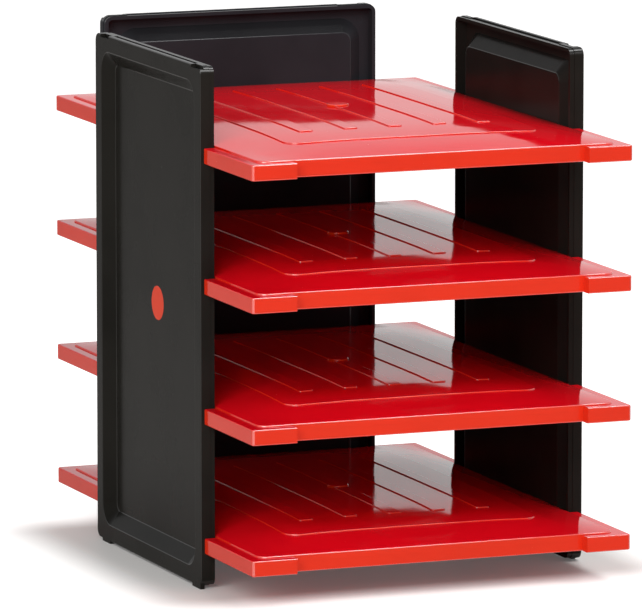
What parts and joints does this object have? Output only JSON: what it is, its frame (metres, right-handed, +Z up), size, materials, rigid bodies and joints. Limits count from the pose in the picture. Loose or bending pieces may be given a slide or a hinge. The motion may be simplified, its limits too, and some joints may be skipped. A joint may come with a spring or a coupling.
{
  "type": "stack of letter trays",
  "caption": "Free-standing stack of open letter trays with crowned, ribbed decks, held at fixed heights by dished panels at the left, back and right.",
  "frame": {"origin": "on the desk, in the middle of the footprint", "axes": "+Z up, +Y to the back, so papers slide out towards -Y, +X to the right seen from the front"},
  "size_m": [0.2448, 0.3404, 0.3114],
  "materials": {
    "tray_red": "glossy",
    "panel_black": "glossy",
    "cap_red": "satin"
  },
  "bodies": {
    "root": {"tray_1": "tray_red", "tray_2": "tray_red", "tray_3": "tray_red", "tray_4": "tray_red", "tray_1_cap": "tray_red", "tray_2_cap": "tray_red", "tray_3_cap": "tray_red", "tray_4_cap": "tray_red", "left_panel": "panel_black", "right_panel": "panel_black", "back_panel": "panel_black", "left_panel_cap": "cap_red", "right_panel_cap": "cap_red", "back_panel_cap": "cap_red"}
  },
  "joints": []
}
